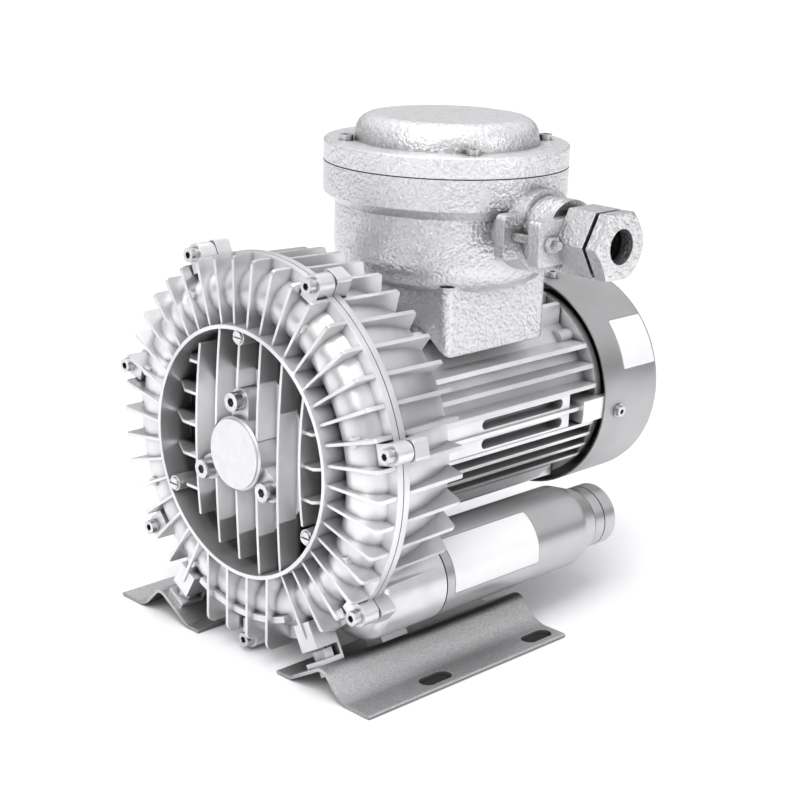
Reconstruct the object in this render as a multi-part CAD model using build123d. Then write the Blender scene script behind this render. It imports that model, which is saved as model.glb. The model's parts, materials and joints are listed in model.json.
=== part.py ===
from build123d import *
import os
from math import acos, cos, degrees, radians, sin, sqrt, tan

# Side channel blower with a finned aluminium casing, a flanged motor with a
# round terminal box, two silencers and two sheet feet. Millimetres.
#
# The pieces are drawn about the shaft: x runs along the shaft from the plane
# of the front rim, y points to the left as seen from the front, and z is up.
# Angles are seen from the front, from the cable gland's side, anticlockwise.
# At the end everything moves so that the origin is the middle of the four
# foot slots, on the floor.

# Running and seating clearances
running_gap = 0.5
shaft_gap = 0.3
seat_gap = 0.05
screw_gap = 0.3
fin_gap = 0.3
floor_gap = 0.8

# Casing: the radii follow from that of the front rim
rim_radius = 87.0
rim_wall = 2.8
seam_x = 25.0
valley_depth = 4.0
dish_floor = 5.5
plate_height = 11.0
gasket_thickness = 0.6
flange_width = 12.0
flange_thickness = 5.0
crown_steps = 8
channel_offset = 20.0
channel_bore = 14.0
channel_sides = 12
channel_wall = 4.0
stripper_angle = 50.0
drum_length = 65.4
drum_wall = 4.5
drum_bulge = 3.5
recess_depth = 20.5
motor_inset = 3.0

# Cooling fins of the casing
fin_count = 42
fin_angle = 1.25
fin_nose = 3.0
skid_fin_thickness = 2.4
skid_fin_pitch = 21.0
front_fin_x = 2.6
front_fin_tip_x = 4.0
rear_fin_inset = 6.0
first_front_fin = -7
last_front_fin = 28
first_rear_fin = -4
last_rear_fin = 25
pad_fins = (-3, 2, 7, 14, 19, 24, 28)
pad_radius = 3.6

# Ribs in the front dish, with the ends of the short ones as shares of the rim
rib_thickness = 2.2
rib_recess = 2.4
rib_bulge = 3.4
upper_ends = {2: 0.9}
lower_ends = {2: 0.75, 1: 0.85, 0: 0.89, -3: 0.6}

# Hub and bearings
bearing_outer_radius = 23.5
bearing_bore_radius = 10.0
bearing_width = 14.0
bearing_wall = 4.0
cap_height = 17.0
cap_wall = 5.0
cap_plate_thickness = 1.2
lobe_radius = 8.6
lobe_height = 12.5
lobe_angles = (90.0, 210.0, 330.0)

# Screws: radius of the shank, radius and height of the head. Shanks and their
# holes have eight sides, and the thread is left out.
shank_sides = 8
m5 = (2.5, 4.25, 3.0)
m6 = (3.0, 5.0, 6.0)
m8 = (4.0, 6.5, 8.0)
rim_boss_radius = 5.6
rim_boss_front_x = 1.0
seam_screw_count = 7
seam_boss_radius = 7.2
seam_boss_front_x = 12.0
seam_boss_depth = 12.4

# Shaft, impeller and seal
impeller_width = 24.0
impeller_hub_radius = 26.0
impeller_hub_length = 26.0
impeller_bore_radius = 12.0
impeller_web = 7.0
sleeve_length = 3.0
vane_count = 32
vane_angle = 1.3
vane_pocket = 10.5
seal_radius = 21.0
seal_width = 8.0
shaft_seal_radius = 15.0
shaft_core_radius = 17.0
air_gap = 0.5

# Motor
motor_length = 197.0
motor_flange_thickness = 9.0
motor_fin_height = 13.0
motor_fin_start = 24.0
motor_fin_thickness = 3.0
upper_fin_count = 5
upper_fin_pitch = 14.3
lower_fin_pitch = 9.6
top_fin_z = 41.5
pad_inset = 2.0
pad_slot_width = 7.2
pad_end_gap = 30.0
slot_core_gap = 48.0
stator_share = 0.48
shield_thickness = 7.0
cowl_length = 68.5
cowl_wall = 1.4
cowl_bend = 9.0
cowl_screw_count = 4
cowl_screw_start = -6.5
cowl_ear_shift = 3.5
fan_blades = 8
grille_count = 14
grille_slot = 5.0

# Terminal box, on the motor's seat
box_radius = 79.0
box_wall = 8.0
box_offset = 5.3
box_bowl = 22.0
band_height = 25.0
band_width = 8.6
lid_thickness = 14.6
dome_height = 18.0
dome_inset = 12.5
dome_bend = 13.0
floor_height = 42.0
pedestal_width = 112.0
pedestal_length = 106.0
pedestal_height = 33.0
pedestal_drop = 23.0
seat_height = 6.0
seat_half_width = 29.0
wire_hole_radius = 22.0
lid_height = 109.9
lid_screw_start = -13.0

# Cable gland, on the right-hand side of the box
gland_height = 73.5
flange_length = 86.0
flange_height = 30.6
box_ear_thickness = 8.0
gland_reach = 29.0
gland_plate_thickness = 9.5
gland_neck_radius = 25.0
gland_boss_wall = 4.0
gland_thread_radius = 18.0
gland_hex = 44.0
gland_hex_length = 22.0
gland_nut_gap = 3.0
gland_nut_length = 10.0
cable_radius = 12.0
gland_bore_radius = 16.5
gland_stud_offset = 32.0

# Ports and silencers
port_angle = 47.5
port_offset = 11.3
port_radius = 31.0
port_bore = 22.0
port_nose = 11.0
silencer_gap = 1.0
silencer_length = 145.0
silencer_cone_length = 21.0
silencer_wall = 2.5
connector_radius = 23.2
connector_bore = 19.5
connector_length = 23.5
connector_groove = 0.8
lining_wall = 5.0

# Feet
foot_length = 194.0
foot_sheet = 2.5
foot_lean = 30.0
foot_rise = 18.6
foot_web = 18.0
foot_flange = 26.0
foot_toe = 12.0
foot_bend_radius = 8.0
foot_flange_bend = 20.0
slot_inset = 10.0
slot_pitch = 103.0
slot_rear_inset = 19.0
slot_length = 27.0
slot_width = 12.0
lug_width = 17.0
nut_slot_base = 3.5
nut_slot_height = 8.0
front_lug_x = 5.0
front_lug_length = 19.5
rear_lug_x = 60.0
rear_lug_length = 24.0
lug_angles = (-60.0, 240.0)

# What follows from the sizes above: casing
plate_radius = rim_radius - 31.0
dish_x = seam_x + 1.0
plate_x = dish_x - plate_height
valley_x = seam_x - valley_depth
torus_radius = channel_bore + channel_wall
channel_radius = rim_radius + channel_offset
impeller_radius = channel_radius + channel_bore
flange_radius = impeller_radius + flange_width
rear_half_x = seam_x + gasket_thickness
pocket_floor_x = rear_half_x + impeller_width + 2 * running_gap
impeller_front_x = rear_half_x + running_gap
drum_end_x = rear_half_x + drum_length
drum_end_radius = channel_radius + 2.0
recess_x = drum_end_x - recess_depth
rear_fin_radius = flange_radius - 4.0
rear_fin_end_x = drum_end_x - rear_fin_inset
fin_step = 360.0 / fin_count
rib_pitch = rim_radius * 0.2437
cross_rib_pitch = rim_radius * 0.261
cross_rib_offset = rim_radius * 0.084
rim_screw_circle = rim_radius - 7.0
seam_screw_circle = flange_radius + 4.5
seam_boss_rear_x = rear_half_x + seam_boss_depth
seam_screw_angles = [270.0 + 360.0 / seam_screw_count * i for i in range(seam_screw_count)]
shaft_height = seam_screw_circle + seam_boss_radius + floor_gap

# Hub, shaft and rotor
cap_radius = bearing_outer_radius + 2.0
cap_front_x = plate_x - cap_height
lobe_circle = bearing_outer_radius + 13.0
lobe_front_x = plate_x - lobe_height
bearing_front_x = plate_x + 1.0
bearing_rear_x = bearing_front_x + bearing_width
impeller_hub_x = bearing_rear_x + sleeve_length
impeller_hub_end_x = impeller_hub_x + impeller_hub_length
web_x = impeller_front_x + (impeller_width - impeller_web) / 2
seal_x = impeller_hub_end_x + 5.0

# Motor
motor_start_x = drum_end_x - motor_inset
motor_end_x = motor_start_x + motor_length
barrel_radius = rim_radius - 23.0
stator_radius = barrel_radius - 7.0
stator_start_x = motor_start_x + motor_length * 0.29
stator_length = motor_length * stator_share
stator_end_x = stator_start_x + stator_length
rotor_radius = stator_radius - 22.0
motor_fin_radius = barrel_radius + motor_fin_height
motor_fin_start_x = motor_start_x + motor_fin_start
middle_fin_z = top_fin_z - upper_fin_pitch * (upper_fin_count - 1)
lower_fin_count = int((middle_fin_z + barrel_radius * 0.74) / lower_fin_pitch)
pad_plane_y = motor_fin_radius - pad_inset
pad_start_x = motor_fin_start_x + 10.0
pad_end_x = motor_end_x - pad_end_gap
pad_slot_start = motor_fin_start_x + slot_core_gap
pad_slot_end = motor_end_x - slot_core_gap + 10.0
motor_screw_circle = barrel_radius + 9.0
motor_flange_radius = motor_screw_circle + 9.0
spigot_radius = motor_flange_radius + 4.0
shield_screw_circle = barrel_radius - 1.0
shield_radius = barrel_radius + 10.6
rear_bearing_x = motor_end_x + 3.0
fan_x = motor_end_x + 27.0
cowl_radius = motor_fin_radius + 5.0
cowl_start_x = motor_end_x + 3.5
cowl_end_x = cowl_start_x + cowl_length
cowl_screw_x = motor_end_x + 20.0
cowl_screw_angles = [cowl_screw_start + 360.0 / cowl_screw_count * i for i in range(cowl_screw_count)]
fan_radius = cowl_radius - 14.0
grille_start = cowl_radius * 0.25
grille_middle = cowl_radius * 0.54
grille_end = cowl_radius * 0.8

# Terminal box and gland
box_x = motor_start_x + motor_length / 2 + box_offset
seat_z = barrel_radius + seat_height
pedestal_bottom_z = seat_z - pedestal_drop
pedestal_top_z = seat_z + pedestal_height
box_floor_z = seat_z + floor_height
lid_z = seat_z + lid_height
box_band_z = lid_z - band_height
box_band_radius = box_radius + band_width
box_top_z = lid_z + lid_thickness
dome_top_z = box_top_z + dome_height
dome_radius = box_radius - dome_inset
lid_screw_circle = box_radius - 6.0
lid_screw_angles = [45.0 + lid_screw_start + 90.0 * i for i in range(4)]
gland_z = seat_z + gland_height
box_ear_y = box_radius + 9.5
gland_plate_y = box_ear_y + gland_reach
gland_plate_end_y = gland_plate_y + gland_plate_thickness
gland_hex_end_y = gland_plate_end_y + gland_hex_length
gland_nut_y = gland_hex_end_y + gland_nut_gap
gland_nut_end_y = gland_nut_y + gland_nut_length

# Ports, silencers and feet
port_circle = channel_radius + port_offset
port_y = port_circle * cos(radians(port_angle))
port_z = -port_circle * sin(radians(port_angle))
port_joint_x = drum_end_x + 1.0
silencer_start_x = port_joint_x + silencer_gap
silencer_cone_x = silencer_start_x + silencer_length
silencer_cone_end_x = silencer_cone_x + silencer_cone_length
connector_end_x = silencer_cone_end_x + connector_length
foot_floor_z = -shaft_height + foot_sheet / 2
foot_ridge_y = shaft_height * 0.605
foot_bend_y = foot_ridge_y + foot_web
foot_half_width = foot_bend_y + foot_flange
foot_slope_y = foot_ridge_y - foot_rise / tan(radians(foot_lean))
foot_toe_y = foot_slope_y - foot_toe
foot_seat_radius = (-(foot_floor_z + foot_rise) * cos(radians(foot_lean))
                    + foot_ridge_y * sin(radians(foot_lean)) - foot_sheet / 2)
slot_offset_y = foot_half_width - slot_inset
sides = {"right": -1, "left": 1}

os.makedirs("parts", exist_ok=True)


# Helpers: every shape below is drawn about the shaft

def around(radius, angle, x=0.0):
    return (x, -radius * cos(radians(angle)), radius * sin(radians(angle)))


def spoke(shape, angle):
    # Turns a shape drawn along +Y to an angle of the casing.
    return Rot(180.0 - angle, 0, 0) * shape


def bar(x_start, x_end, radius, y=0.0, z=0.0):
    base = Plane(origin=(x_start, y, z), x_dir=(0, 1, 0), z_dir=(1, 0, 0))
    return extrude(base * Circle(radius), x_end - x_start)


def block(x_start, x_end, y_start, y_end, z_start, z_end):
    size = Box(x_end - x_start, abs(y_end - y_start), z_end - z_start)
    return Pos((x_start + x_end) / 2, (y_start + y_end) / 2, (z_start + z_end) / 2) * size


def turned(edge, angle=360.0):
    # A face drawn with x along the shaft and y as radius, turned about the shaft.
    return revolve(make_face(edge), Axis.X, angle)


def outline(*points):
    return Polyline(*points, close=True)


def path(*points):
    return Polyline(*points)


def rounded(x, radius, bend, start, end, steps=4):
    # Points along an arc about (x, radius), with its angles from the shaft's direction,
    # so that a turned corner is a few plain cones.
    angles = [radians(start + (end - start) * i / steps) for i in range(steps + 1)]
    return [(x + bend * cos(angle), radius + bend * sin(angle)) for angle in angles]


def facing(place, direction):
    # A plane that looks along a direction, turned alike for a screw and for its hole.
    side = (0, 1, 0) if abs(direction[0]) > 0.5 else (1, 0, 0)
    return Plane(origin=place, x_dir=side, z_dir=direction)


def shank(plane, radius, length):
    return extrude(plane * RegularPolygon(radius, shank_sides), length)


def cap_screw(screw, seat, length, inward, socket=True):
    # A screw whose head sits on the seat, shank pointing inward: a round head
    # with a socket where it shows, a plain hexagon where it doesn't.
    radius, head, height = screw
    plane = facing(seat, inward)
    if not socket:
        return extrude(plane * RegularPolygon(head, 6), -height) + shank(plane, radius, length)
    body = extrude(plane * Circle(head), -height) + shank(plane, radius, length)
    outer = Plane(origin=plane.origin - plane.z_dir * height, x_dir=plane.x_dir, z_dir=plane.z_dir)
    return body - extrude(outer * RegularPolygon(head * 0.5, 6), height * 0.55)


def hole(radius, mouth, direction, depth):
    return extrude(Plane(origin=mouth, z_dir=direction) * Circle(radius), depth)


def screw_hole(radius, mouth, direction, depth):
    return shank(facing(mouth, direction), radius, depth)


def fanned(profile, angle, spread):
    # A plate whose sides lie in planes through the shaft, centred on an angle.
    return spoke(revolve(make_face(profile), Axis.X, spread), angle + spread / 2)


# Casing: finned front cover

def cover_blank():
    flange_front = seam_x - flange_thickness
    crown_start = 360.0 - degrees(acos(-(seam_x - valley_x) / torus_radius))
    crown_end = degrees(acos(-flange_thickness / torus_radius))
    crown = rounded(seam_x, channel_radius, torus_radius, crown_start, crown_end, crown_steps)
    rim_inner = rim_radius - rim_wall
    back = dish_x + dish_floor
    return turned(outline(
        *crown, (flange_front, flange_radius), (seam_x, flange_radius), (seam_x, rim_inner + 1.0),
        (back, rim_inner), (back, shaft_seal_radius + 1.0), (bearing_rear_x, shaft_seal_radius + 1.0),
        (bearing_rear_x, bearing_outer_radius), (plate_x, bearing_outer_radius), (plate_x, plate_radius),
        (dish_x, plate_radius + 1.5), (dish_x, rim_inner), (0, rim_inner), (0, rim_radius),
        (valley_x, rim_radius)))


def channel(centre_x):
    # The side channel stops at the stripper, between the two ports.
    section = Pos(centre_x, channel_radius) * RegularPolygon(channel_bore, channel_sides)
    ring = revolve(section, Axis.X, 360.0 - stripper_angle)
    start = 270.0 - stripper_angle / 2
    return spoke(ring, start)


def front_fin(angle):
    # The tip stays just inside the flange's edge.
    root = rim_radius - 1.0
    tip = flange_radius - 0.4
    back = seam_x - 2
    nose = rounded(front_fin_tip_x + fin_nose, tip - fin_nose, fin_nose, 180.0, 90.0, 2)
    return fanned(outline((front_fin_x, root), *nose, (back, tip), (back, root)), angle, fin_angle)


def skid_fin(y):
    # The four upright fins under the rim stand on the foot side.
    top = -sqrt(rim_radius ** 2 - y ** 2) + 1.0
    side = Plane.XZ * make_face(outline(
        (0, top), (0, -flange_radius), (seam_x - 2, -flange_radius), (seam_x - 2, top)))
    corner = side.vertices().sort_by(Axis.Z)[:2].sort_by(Axis.X)[:1]
    side = fillet(corner, 6.0)
    return Pos(0, y, 0) * extrude(side, skid_fin_thickness / 2, both=True)


def dish_rib(index):
    y = rib_pitch * index
    reach = sqrt((rim_radius - rim_wall / 2) ** 2 - y ** 2)
    top = reach * upper_ends.get(index, 1.0)
    bottom = -reach * lower_ends.get(index, 1.0)
    front = ThreePointArc((rib_recess, top), (rib_recess - rib_bulge, (top + bottom) / 2),
                          (rib_recess, bottom))
    rest = path((rib_recess, bottom), (dish_x + 1, bottom), (dish_x + 1, top), (rib_recess, top))
    side = Plane.XZ * make_face([front, rest])
    return Pos(0, y, 0) * extrude(side, rib_thickness / 2, both=True)


def cross_rib(row, direction):
    # Short level ribs between the outer upright rib and the rim.
    z = cross_rib_offset + cross_rib_pitch * row
    inner = rib_pitch * (2 if direction > 0 else 3)
    outer = sqrt((rim_radius - rim_wall / 2) ** 2 - z ** 2)
    knee = inner + (outer - inner) * 0.45
    deep = dish_x * 0.6
    shape = make_face(outline(
        (rib_recess, inner), (rib_recess, knee), (deep, outer), (dish_x + 1, outer),
        (dish_x + 1, inner)))
    rib = extrude(shape, rib_thickness / 2, both=True)
    return Pos(0, 0, z) * (rib if direction > 0 else mirror(rib, Plane.XZ))


def hub_outline(extra):
    # The bearing cap's footprint: a round hub with three screw lobes.
    shape = Circle(cap_radius + extra)
    for angle in lobe_angles:
        lobe = Pos(lobe_circle, 0) * Circle(lobe_radius + extra)
        arm = Pos(lobe_circle / 2, 0) * Rectangle(lobe_circle, 2 * (lobe_radius + extra))
        shape += Rot(0, 0, 180.0 - angle) * (lobe + arm)
    return shape


def hub_prism(x_start, x_end, extra):
    return extrude(Plane(origin=(x_start, 0, 0), x_dir=(0, 1, 0), z_dir=(1, 0, 0))
                   * hub_outline(extra), x_end - x_start)


def seam_boss(x_start, x_end, angle, square):
    inner = flange_radius - 8.0
    outer = seam_screw_circle
    half = seam_boss_radius
    arm = block(x_start, x_end, inner, outer, -half, half)
    end = bar(x_start, x_end, half, y=outer)
    if square:
        end = block(x_start, x_end, outer - 1, outer + half, -half, half)
        edges = end.edges().filter_by(Axis.X).group_by(Axis.Y)[-1]
        end = fillet(edges, 2.5)
    return spoke(arm + end, angle)


def foot_lug(x_start, length, angle):
    # A radial leg that stands on the foot's slope.
    half = lug_width / 2
    return spoke(block(x_start, x_start + length, flange_radius - 12, foot_seat_radius, -half, half), angle)


def nut_slot(x_start, length, angle):
    # Open to the front and to both sides, close above the foot.
    top = foot_seat_radius - nut_slot_base
    cut = block(x_start - 1, x_start + length - 2, top - nut_slot_height, top, -lug_width, lug_width)
    return spoke(cut, angle)


def lug_hole(x_start, length, angle, depth):
    mouth = around(foot_seat_radius + 1, angle, x_start + length / 2)
    return screw_hole(m8[0], mouth, around(-1, angle), depth + 1)


def front_cover():
    body = cover_blank()
    fins = [front_fin(fin_step * i) for i in range(first_front_fin, last_front_fin + 1)]
    skids = [skid_fin(skid_fin_pitch * (i - 1.5)) for i in range(4)]
    pads = [spoke(bar(front_fin_tip_x + 0.6, seam_x - 2, pad_radius, y=channel_radius + 5.0), fin_step * i)
            for i in pad_fins]
    low = channel_radius + 6.5
    ledge = turned(outline((4, low), (4, low + 4.5), (seam_x - 2, low + 4.5), (seam_x - 2, low)), angle=46.0)
    ledge = spoke(ledge, 293.0)
    bosses = [seam_boss(seam_boss_front_x, seam_x, angle, False) for angle in seam_screw_angles]
    lugs = [foot_lug(front_lug_x, front_lug_length, angle) for angle in lug_angles]
    for group in (fins, skids, pads, [ledge], bosses, lugs):
        body = body + group
    ribs = [dish_rib(index) for index in range(-3, 3)]
    ribs += [cross_rib(row, 1) for row in range(-2, 3)]
    ribs += [cross_rib(row, -1) for row in range(-1, 2)]
    seats = [bar(rim_boss_front_x, dish_x + 1, rim_boss_radius, *around(rim_screw_circle, a)[1:])
             for a in lobe_angles]
    body = body + ribs + seats
    body = body - hub_prism(cap_front_x - 10, plate_x, 0.6)
    body -= bar(plate_x - 1, bearing_rear_x, bearing_outer_radius)
    for angle in lobe_angles:
        body -= screw_hole(m8[0], around(lobe_circle, angle, plate_x - 1), (1, 0, 0), 14)
        body -= screw_hole(m5[0], around(rim_screw_circle, angle, 0), (1, 0, 0), 18)
    for angle in seam_screw_angles:
        body -= screw_hole(m6[0] + screw_gap, around(seam_screw_circle, angle, 0), (1, 0, 0), 40)
    for angle in lug_angles:
        body -= nut_slot(front_lug_x, front_lug_length, angle)
        body -= lug_hole(front_lug_x, front_lug_length, angle, 15)
    return body - channel(seam_x)


# Casing: finned rear half with the two ports

def rear_blank():
    flange_back = rear_half_x + flange_thickness
    shell_radius = impeller_radius + running_gap + channel_wall + 0.8
    wall_x = pocket_floor_x - 4.0
    inner = drum_end_radius - drum_wall
    length = drum_end_x - flange_back
    taper = drum_end_radius - shell_radius
    drum = []
    for share in (0.0, 0.25, 0.5, 0.75, 1.0):
        bulge = drum_bulge * sin(radians(180.0 * share))
        drum.append((flange_back + length * share, shell_radius + taper * share + bulge))
    shell = [(drum_end_x, inner), (recess_x, inner), (recess_x, spigot_radius),
             (motor_start_x, spigot_radius), (motor_start_x, seal_radius), (seal_x, seal_radius),
             (seal_x, shaft_seal_radius + 1), (seal_x - 4, shaft_seal_radius + 1),
             (seal_x - 4, impeller_hub_radius + 3), (wall_x, impeller_hub_radius + 3),
             (wall_x, rim_radius - 1), (pocket_floor_x, rim_radius - 1),
             (pocket_floor_x, impeller_radius + running_gap), (rear_half_x, impeller_radius + running_gap),
             (rear_half_x, flange_radius), (flange_back, flange_radius)]
    return turned(outline(*shell, *drum))


def rear_fin(angle):
    start = rear_half_x + flange_thickness - 1
    base = drum_end_radius - 2
    nose = rounded(rear_fin_end_x - fin_nose, rear_fin_radius - fin_nose, fin_nose, 0.0, 90.0, 2)
    return fanned(outline((drum_end_x, base), *nose, (start, rear_fin_radius + 1.5), (start, base)),
                  angle, fin_angle)


def port_body(side):
    # A round-nosed tube beside the drum that carries the silencer.
    start = rear_half_x + flange_thickness - 1
    nose = rounded(start + port_nose, port_radius - port_nose, port_nose, 180.0, 90.0)
    shape = turned(outline((start, 0), *nose, (port_joint_x, port_radius), (port_joint_x, 0)))
    return Pos(0, side * port_y, port_z) * shape


def rear_casing():
    body = rear_blank()
    places = list(range(first_rear_fin, last_rear_fin + 1)) + list(range(-12, -8))
    fins = [rear_fin(fin_step * i) for i in places]
    bosses = [seam_boss(rear_half_x, seam_boss_rear_x, angle, True) for angle in seam_screw_angles]
    ports = [port_body(side) for side in sides.values()]
    lugs = [foot_lug(rear_lug_x, rear_lug_length, angle) for angle in lug_angles]
    for group in (fins, bosses, ports, lugs):
        body = body + group
    outer = impeller_radius + running_gap
    pocket = turned(outline((rear_half_x - 1, rim_radius - 1), (rear_half_x - 1, outer),
                            (pocket_floor_x, outer), (pocket_floor_x, rim_radius - 1)))
    body = body - pocket - channel(pocket_floor_x)
    for side in sides.values():
        body -= bar(pocket_floor_x + 6, port_joint_x + 1, port_bore, side * port_y, port_z)
    for angle in seam_screw_angles:
        body -= screw_hole(m6[0], around(seam_screw_circle, angle, rear_half_x - 1), (1, 0, 0), 12)
    for i in range(4):
        body -= screw_hole(m8[0], around(motor_screw_circle, 45 + 90 * i, motor_start_x - 16), (1, 0, 0), 17)
    for angle in lug_angles:
        body -= lug_hole(rear_lug_x, rear_lug_length, angle, 13)
    return body


def seam_gasket():
    return turned(outline((seam_x, impeller_radius + 2), (seam_x, flange_radius - 0.5),
                          (rear_half_x, flange_radius - 0.5), (rear_half_x, impeller_radius + 2)))


# Hub: bearing cap, plate, screws and bearings

def bearing_cap():
    lobes = hub_prism(lobe_front_x, plate_x, 0)
    hub = turned(outline((cap_front_x, 0), (cap_front_x, cap_radius - 1.2), (cap_front_x + 1.2, cap_radius),
                         (plate_x, cap_radius), (plate_x, 0)))
    cap = hub + lobes
    cap -= bar(cap_front_x + cap_wall, plate_x + 1, cap_radius - cap_wall)
    for angle in lobe_angles:
        cap -= screw_hole(m8[0] + screw_gap, around(lobe_circle, angle, 0), (1, 0, 0), 20)
    return cap


def cap_plate():
    return bar(cap_front_x - cap_plate_thickness, cap_front_x, cap_radius - 1.6)


def bearing_outer(x_start):
    end = x_start + bearing_width
    return bar(x_start, end, bearing_outer_radius) \
        - bar(x_start - 1, end + 1, bearing_bore_radius + bearing_wall + shaft_gap)


def bearing_inner(x_start):
    return bar(x_start, x_start + bearing_width, bearing_bore_radius + bearing_wall) \
        - bar(x_start - 1, x_start + bearing_width + 1, bearing_bore_radius)


def shaft_seal():
    lip = shaft_seal_radius + shaft_gap
    end = seal_x + seal_width
    return turned(outline((seal_x, lip + 2), (seal_x, seal_radius), (end, seal_radius), (end, lip + 3),
                          (seal_x + 4, lip)))


# Rotor: shaft, impeller, sleeve, key, rotor core and fan

def shaft():
    core_start = motor_start_x + 22
    core_end = rear_bearing_x - 6
    body = turned(outline(
        (bearing_front_x + 1, 0), (bearing_front_x + 1, bearing_bore_radius),
        (impeller_hub_x, bearing_bore_radius), (impeller_hub_x, impeller_bore_radius),
        (impeller_hub_end_x, impeller_bore_radius), (impeller_hub_end_x, shaft_seal_radius),
        (core_start, shaft_seal_radius), (core_start, shaft_core_radius), (core_end, shaft_core_radius),
        (core_end, bearing_bore_radius), (fan_x - 4, bearing_bore_radius), (fan_x - 4, 9.0),
        (fan_x + 20, 9.0), (fan_x + 21, 8.0), (fan_x + 21, 0)))
    body -= screw_hole(m8[0], (bearing_front_x, 0, 0), (1, 0, 0), 26)
    return body - key_block(0)


def key_block(extra):
    return block(impeller_hub_x + 2, impeller_hub_end_x - 2, -4 - extra, 4 + extra,
                 impeller_bore_radius - 4.5, impeller_bore_radius + 3.3 + extra)


def impeller_key():
    return key_block(0)


def spacer_sleeve():
    return bar(bearing_rear_x, impeller_hub_x, bearing_bore_radius + bearing_wall) \
        - bar(bearing_rear_x - 1, impeller_hub_x + 1, bearing_bore_radius + seat_gap)


def shaft_end_washer():
    start = bearing_front_x - 3
    return bar(start, bearing_front_x, 13.0) - screw_hole(m8[0] + screw_gap, (start - 1, 0, 0), (1, 0, 0), 5)


def shaft_end_screw():
    return cap_screw((m8[0], m8[1], 6.0), (bearing_front_x - 3, 0, 0), 26, (1, 0, 0))


def impeller():
    # A disc with a ring of vane pockets on each face, one pocket between two vanes.
    rear_x = impeller_front_x + impeller_width
    middle_x = impeller_front_x + impeller_width / 2
    inner_rim = rim_radius + 1.5
    hole_circle = (impeller_hub_radius + inner_rim) / 2
    body = turned(outline(
        (impeller_hub_x, impeller_bore_radius), (impeller_hub_x, impeller_hub_radius - 6),
        (web_x, impeller_hub_radius), (web_x, inner_rim), (impeller_front_x, inner_rim),
        (impeller_front_x, impeller_radius), (rear_x, impeller_radius), (rear_x, inner_rim),
        (web_x + impeller_web, inner_rim), (web_x + impeller_web, impeller_hub_radius),
        (impeller_hub_end_x, impeller_hub_radius), (impeller_hub_end_x, impeller_bore_radius)))
    for face_x, step in ((impeller_front_x, 1), (rear_x, -1)):
        pocket = outline(
            (face_x - step, channel_radius - vane_pocket), (face_x + step * 5, channel_radius - vane_pocket),
            (middle_x - step * 1.5, channel_radius - 4), (middle_x - step * 1.5, channel_radius + 4),
            (face_x + step * 5, channel_radius + vane_pocket), (face_x - step, channel_radius + vane_pocket))
        gap = 360.0 / vane_count - vane_angle
        body -= [fanned(pocket, 360.0 / vane_count * i, gap) for i in range(vane_count)]
    for i in range(6):
        body -= spoke(bar(web_x - 1, web_x + impeller_web + 1, 10.0, y=hole_circle), 60.0 * i)
    return body - key_block(0)


def rotor_core():
    inner = shaft_core_radius
    core = bar(stator_start_x, stator_end_x, rotor_radius)
    rings = bar(stator_start_x - 10, stator_end_x + 10, rotor_radius - 3)
    body = core + rings
    blade = block(stator_end_x + 8, stator_end_x + 17, inner + 5, rotor_radius - 4, -1.5, 1.5)
    body += [spoke(blade, 60.0 * i) for i in range(6)]
    return body - bar(stator_start_x - 20, stator_end_x + 20, inner)


def cooling_fan():
    hub = bar(fan_x - 4, fan_x + 18, 17.0)
    plate = bar(fan_x, fan_x + 2.5, fan_radius)
    blade = block(fan_x + 1, fan_x + 24, 14.0, fan_radius, -1.2, 1.2)
    tip = make_face(outline((fan_x + 26, 30.0), (fan_x + 26, fan_radius + 1), (fan_x + 14, fan_radius + 1)))
    blade -= extrude(tip, 4, both=True)
    body = hub + plate + [spoke(blade, 360.0 / fan_blades * i) for i in range(fan_blades)]
    return body - bar(fan_x - 5, fan_x + 30, 9.0)


def fan_clip():
    return bar(fan_x + 18, fan_x + 19.2, 12.0) - bar(fan_x + 17, fan_x + 20, 9.0)


# Motor

def motor_fins():
    heights = [top_fin_z - upper_fin_pitch * i for i in range(upper_fin_count)]
    heights += [heights[-1] - lower_fin_pitch * (i + 1) for i in range(lower_fin_count)]
    half = motor_fin_thickness / 2
    reach = motor_fin_radius
    level = [block(motor_fin_start_x, motor_end_x - 1, -reach, reach, z - half, z + half) for z in heights]
    spread = (-35.0, -21.0, -7.0, 7.0, 21.0, 35.0)
    under = [block(motor_fin_start_x, motor_end_x - 1, y - half, y + half, -reach, 0) for y in spread]
    front = box_x - pedestal_length / 2 - 2
    rear = box_x + pedestal_length / 2 + 2
    top = [block(motor_fin_start_x, front, y - half, y + half, 0, reach) for y in spread]
    top += [block(rear, motor_end_x - 1, y - half, y + half, 0, reach) for y in spread]
    return level + under + top


def side_pad(side):
    # A raised pad on the fins with two long slots through it.
    high = top_fin_z - upper_fin_pitch * 2 + motor_fin_thickness / 2
    low = top_fin_z - upper_fin_pitch * 4 - motor_fin_thickness / 2
    root = side * (barrel_radius - 4)
    pad = block(pad_start_x, pad_end_x, root, side * pad_plane_y, low, high)
    middle = (pad_slot_start + pad_slot_end) / 2
    for shift in (-upper_fin_pitch / 2, upper_fin_pitch / 2):
        plane = Plane(origin=(middle, root, (high + low) / 2 + shift), x_dir=(1, 0, 0), z_dir=(0, side, 0))
        pad -= extrude(plane * SlotOverall(pad_slot_end - pad_slot_start, pad_slot_width), pad_plane_y)
    return pad


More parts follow.
